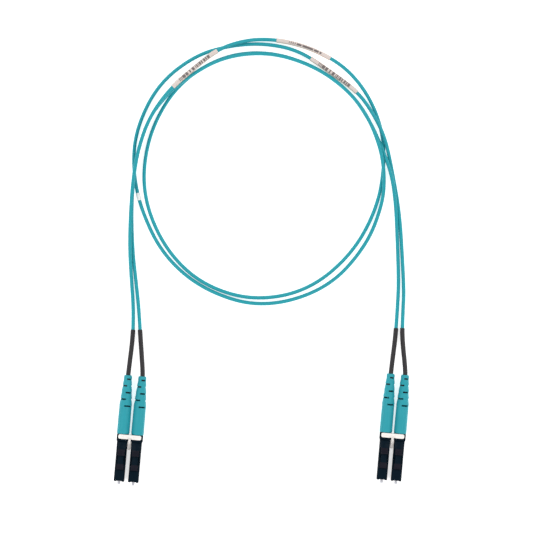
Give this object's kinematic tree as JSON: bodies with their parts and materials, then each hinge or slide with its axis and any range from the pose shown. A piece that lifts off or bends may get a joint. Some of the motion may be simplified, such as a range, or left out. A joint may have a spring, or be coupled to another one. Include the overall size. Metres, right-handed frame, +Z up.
{
  "type": "fiber optic patch cord",
  "caption": "Duplex fibre patch cord: aqua jacketed fibres in a loose ring, dark latched plugs with aqua boots and white clips at both ends.",
  "frame": {"origin": "middle of the footprint of the two pairs of plugs, on the table", "axes": "+X from the left pair of plugs to the right pair, +Y from the plugs towards the ring of fibre, +Z up from the table"},
  "size_m": [0.1287, 0.1955, 0.0081],
  "materials": {
    "plug_plastic": "satin black moulded plastic with a blue cast",
    "clip_plastic": "white moulded plastic, smooth",
    "boot_rubber": "aqua moulded elastomer, satin",
    "sleeve_plastic": "dark grey heat-shrink tube, satin",
    "jacket": "aqua cable jacket, low sheen",
    "label_film": "cream printed film, slightly glossy",
    "marker_plastic": "plain white sleeve",
    "ceramic": "polished white zirconia",
    "nickel_metal": "turned, nickel plated",
    "brass_sleeve": "crimped tube, satin",
    "spring_steel": "drawn stainless wire",
    "buffer_plastic": "tight buffer on the glass fibre"
  },
  "bodies": {
    "cord_assembly": {"plug_housing_left_1": "plug_plastic", "rear_body_left_1": "plug_plastic", "crimp_body_left_1": "nickel_metal", "crimp_sleeve_left_1": "brass_sleeve", "fibre_buffer_left_1": "buffer_plastic", "spring_left_1": "spring_steel", "boot_left_1": "boot_rubber", "heat_shrink_sleeve_left_1": "sleeve_plastic", "jacket_end_left_1": "jacket", "plug_housing_left_2": "plug_plastic", "rear_body_left_2": "plug_plastic", "crimp_body_left_2": "nickel_metal", "crimp_sleeve_left_2": "brass_sleeve", "fibre_buffer_left_2": "buffer_plastic", "spring_left_2": "spring_steel", "boot_left_2": "boot_rubber", "heat_shrink_sleeve_left_2": "sleeve_plastic", "jacket_end_left_2": "jacket", "plug_housing_right_1": "plug_plastic", "rear_body_right_1": "plug_plastic", "crimp_body_right_1": "nickel_metal", "crimp_sleeve_right_1": "brass_sleeve", "fibre_buffer_right_1": "buffer_plastic", "spring_right_1": "spring_steel", "boot_right_1": "boot_rubber", "heat_shrink_sleeve_right_1": "sleeve_plastic", "jacket_end_right_1": "jacket", "plug_housing_right_2": "plug_plastic", "rear_body_right_2": "plug_plastic", "crimp_body_right_2": "nickel_metal", "crimp_sleeve_right_2": "brass_sleeve", "fibre_buffer_right_2": "buffer_plastic", "spring_right_2": "spring_steel", "boot_right_2": "boot_rubber", "heat_shrink_sleeve_right_2": "sleeve_plastic", "jacket_end_right_2": "jacket", "duplex_clip_left": "clip_plastic", "duplex_clip_right": "clip_plastic", "fibre_cord_1": "jacket", "fibre_cord_2": "jacket", "label_a": "label_film", "label_b": "label_film", "label_c": "label_film", "marker_band": "marker_plastic"},
    "ferrule_left_1": {"ferrule_left_1": "ceramic", "ferrule_flange_left_1": "nickel_metal"},
    "latch_left_1": {"latch_left_1": "plug_plastic"},
    "trigger_left_1": {"trigger_left_1": "plug_plastic"},
    "ferrule_left_2": {"ferrule_left_2": "ceramic", "ferrule_flange_left_2": "nickel_metal"},
    "latch_left_2": {"latch_left_2": "plug_plastic"},
    "trigger_left_2": {"trigger_left_2": "plug_plastic"},
    "ferrule_right_1": {"ferrule_right_1": "ceramic", "ferrule_flange_right_1": "nickel_metal"},
    "latch_right_1": {"latch_right_1": "plug_plastic"},
    "trigger_right_1": {"trigger_right_1": "plug_plastic"},
    "ferrule_right_2": {"ferrule_right_2": "ceramic", "ferrule_flange_right_2": "nickel_metal"},
    "latch_right_2": {"latch_right_2": "plug_plastic"},
    "trigger_right_2": {"trigger_right_2": "plug_plastic"}
  },
  "joints": [
    {"name": "ferrule_slide_left_1", "type": "slide", "parent": "cord_assembly", "child": "ferrule_left_1", "axis": [0.0872, 0.9962, 0], "range_m": [0, 0.001], "stiffness_N_per_m": 1000, "deforming": ["spring_left_1"]},
    {"name": "trigger_hinge_left_1", "type": "hinge", "parent": "cord_assembly", "child": "trigger_left_1", "pos_m": [-0.06067, -0.01552, 0.0056], "axis": [0.9962, -0.0872, 0], "range_deg": [0, 14], "stiffness_Nm_per_rad": 0.002},
    {"name": "latch_hinge_left_1", "type": "hinge", "parent": "cord_assembly", "child": "latch_left_1", "pos_m": [-0.06166, -0.02687, 0.0053], "axis": [0.9962, -0.0872, 0], "range_deg": [-9, 0], "stiffness_Nm_per_rad": 0.002},
    {"name": "ferrule_slide_left_2", "type": "slide", "parent": "cord_assembly", "child": "ferrule_left_2", "axis": [0.0872, 0.9962, 0], "range_m": [0, 0.001], "stiffness_N_per_m": 1000, "deforming": ["spring_left_2"]},
    {"name": "trigger_hinge_left_2", "type": "hinge", "parent": "cord_assembly", "child": "trigger_left_2", "pos_m": [-0.05444, -0.01606, 0.0056], "axis": [0.9962, -0.0872, 0], "range_deg": [0, 14], "stiffness_Nm_per_rad": 0.002},
    {"name": "latch_hinge_left_2", "type": "hinge", "parent": "cord_assembly", "child": "latch_left_2", "pos_m": [-0.05544, -0.02742, 0.0053], "axis": [0.9962, -0.0872, 0], "range_deg": [-9, 0], "stiffness_Nm_per_rad": 0.002},
    {"name": "ferrule_slide_right_1", "type": "slide", "parent": "cord_assembly", "child": "ferrule_right_1", "axis": [0.0872, 0.9962, 0], "range_m": [0, 0.001], "stiffness_N_per_m": 1000, "deforming": ["spring_right_1"]},
    {"name": "trigger_hinge_right_1", "type": "hinge", "parent": "cord_assembly", "child": "trigger_right_1", "pos_m": [0.05383, -0.01487, 0.0056], "axis": [0.9962, -0.0872, 0], "range_deg": [0, 14], "stiffness_Nm_per_rad": 0.002},
    {"name": "latch_hinge_right_1", "type": "hinge", "parent": "cord_assembly", "child": "latch_right_1", "pos_m": [0.05284, -0.02622, 0.0053], "axis": [0.9962, -0.0872, 0], "range_deg": [-9, 0], "stiffness_Nm_per_rad": 0.002},
    {"name": "ferrule_slide_right_2", "type": "slide", "parent": "cord_assembly", "child": "ferrule_right_2", "axis": [0.0872, 0.9962, 0], "range_m": [0, 0.001], "stiffness_N_per_m": 1000, "deforming": ["spring_right_2"]},
    {"name": "trigger_hinge_right_2", "type": "hinge", "parent": "cord_assembly", "child": "trigger_right_2", "pos_m": [0.06006, -0.01541, 0.0056], "axis": [0.9962, -0.0872, 0], "range_deg": [0, 14], "stiffness_Nm_per_rad": 0.002},
    {"name": "latch_hinge_right_2", "type": "hinge", "parent": "cord_assembly", "child": "latch_right_2", "pos_m": [0.05906, -0.02677, 0.0053], "axis": [0.9962, -0.0872, 0], "range_deg": [-9, 0], "stiffness_Nm_per_rad": 0.002}
  ],
  "couplings": [
    {"joint": "latch_hinge_left_1", "follows": "trigger_hinge_left_1", "ratio": -0.6428},
    {"joint": "latch_hinge_left_2", "follows": "trigger_hinge_left_2", "ratio": -0.6428},
    {"joint": "latch_hinge_right_1", "follows": "trigger_hinge_right_1", "ratio": -0.6428},
    {"joint": "latch_hinge_right_2", "follows": "trigger_hinge_right_2", "ratio": -0.6428}
  ]
}
